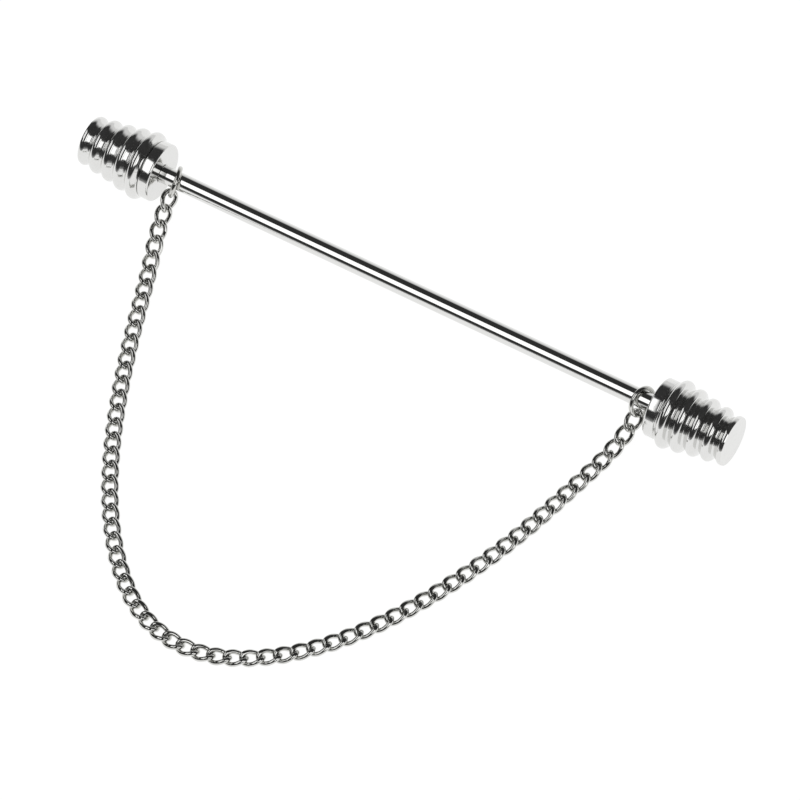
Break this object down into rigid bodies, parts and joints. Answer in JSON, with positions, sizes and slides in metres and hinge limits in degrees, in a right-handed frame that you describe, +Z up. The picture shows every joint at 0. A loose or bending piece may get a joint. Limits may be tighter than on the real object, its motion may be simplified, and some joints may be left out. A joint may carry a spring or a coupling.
{
  "type": "collar bar",
  "caption": "Chrome collar bar: a thin round rod with a ribbed, tapered screw-on knob at each end and a curb chain hung on two rings.",
  "frame": {"origin": "on the rod's axis, half way along the rod", "axes": "+X along the rod towards the right knob, +Z up from the surface that the bar and chain lie on, chain towards -Y"},
  "size_m": [0.0602, 0.0392, 0.0058],
  "materials": {
    "chrome": "mirror polished chrome plate"
  },
  "bodies": {
    "bar": {"rod": "chrome"},
    "left_collar": {"left_collar": "chrome"},
    "left_barrel": {"left_barrel": "chrome"},
    "right_collar": {"right_collar": "chrome"},
    "right_barrel": {"right_barrel": "chrome"},
    "rings": {"left_ring": "chrome", "right_ring": "chrome"},
    "chain_left": {"links_01_02": "chrome", "links_03_04": "chrome", "links_05_06": "chrome", "links_07_08": "chrome", "links_09_10": "chrome", "links_11_12": "chrome", "links_13_14": "chrome", "links_15_16": "chrome"},
    "chain_lower_left": {"links_17_18": "chrome", "links_19_20": "chrome", "links_21_22": "chrome", "links_23_24": "chrome", "links_25_26": "chrome", "links_27_28": "chrome", "links_29_30": "chrome", "links_31_32": "chrome", "links_33_34": "chrome"},
    "chain_lower_right": {"links_35_36": "chrome", "links_37_38": "chrome", "links_39_40": "chrome", "links_41_42": "chrome", "links_43_44": "chrome", "links_45_46": "chrome", "links_47_48": "chrome", "links_49_50": "chrome"},
    "chain_right": {"links_51_52": "chrome", "links_53_54": "chrome", "links_55_56": "chrome", "links_57_58": "chrome", "links_59_60": "chrome", "links_61_62": "chrome", "links_63_64": "chrome", "links_65_66": "chrome"}
  },
  "joints": [
    {"name": "left_knob_travel", "type": "slide", "parent": "bar", "child": "left_collar", "axis": [-1, 0, 0], "range_m": [0, 0.003]},
    {"name": "left_knob_turn", "type": "hinge", "parent": "left_collar", "child": "left_barrel", "pos_m": [-0.0242, 0, 0], "axis": [-1, 0, 0], "range_deg": [0, 3600]},
    {"name": "right_knob_travel", "type": "slide", "parent": "bar", "child": "right_collar", "axis": [1, 0, 0], "range_m": [0, 0.003]},
    {"name": "right_knob_turn", "type": "hinge", "parent": "right_collar", "child": "right_barrel", "pos_m": [0.0242, 0, 0], "axis": [1, 0, 0], "range_deg": [0, 3600]},
    {"name": "chain_swing", "type": "hinge", "parent": "bar", "child": "rings", "pos_m": [0, 0, 0], "axis": [1, 0, 0], "continuous": true},
    {"name": "chain_sway", "type": "hinge", "parent": "rings", "child": "chain_left", "pos_m": [-0.0219, -0.00092, -0.00074], "axis": [0, 0, 1], "range_deg": [-6, 6]},
    {"name": "chain_bend_left", "type": "hinge", "parent": "chain_left", "child": "chain_lower_left", "pos_m": [-0.01514, -0.02068, -0.00251], "axis": [0, 0, 1], "range_deg": [-9, 9]},
    {"name": "chain_bend_bottom", "type": "hinge", "parent": "chain_lower_left", "child": "chain_lower_right", "pos_m": [0.00163, -0.0355, -0.00251], "axis": [0, 0, 1], "range_deg": [-1, 1]},
    {"name": "chain_bend_right", "type": "hinge", "parent": "chain_lower_right", "child": "chain_right", "pos_m": [0.01606, -0.02098, -0.00251], "axis": [0, 0, 1], "range_deg": [-8, 8]}
  ],
  "couplings": [
    {"joint": "left_knob_turn", "follows": "left_knob_travel", "rad_per_m": 20943},
    {"joint": "right_knob_turn", "follows": "right_knob_travel", "rad_per_m": 20943},
    {"joint": "chain_bend_left", "follows": "chain_sway", "ratio": -1.4289},
    {"joint": "chain_bend_bottom", "follows": "chain_sway", "ratio": 0.0926},
    {"joint": "chain_bend_right", "follows": "chain_sway", "ratio": 1.2474}
  ]
}
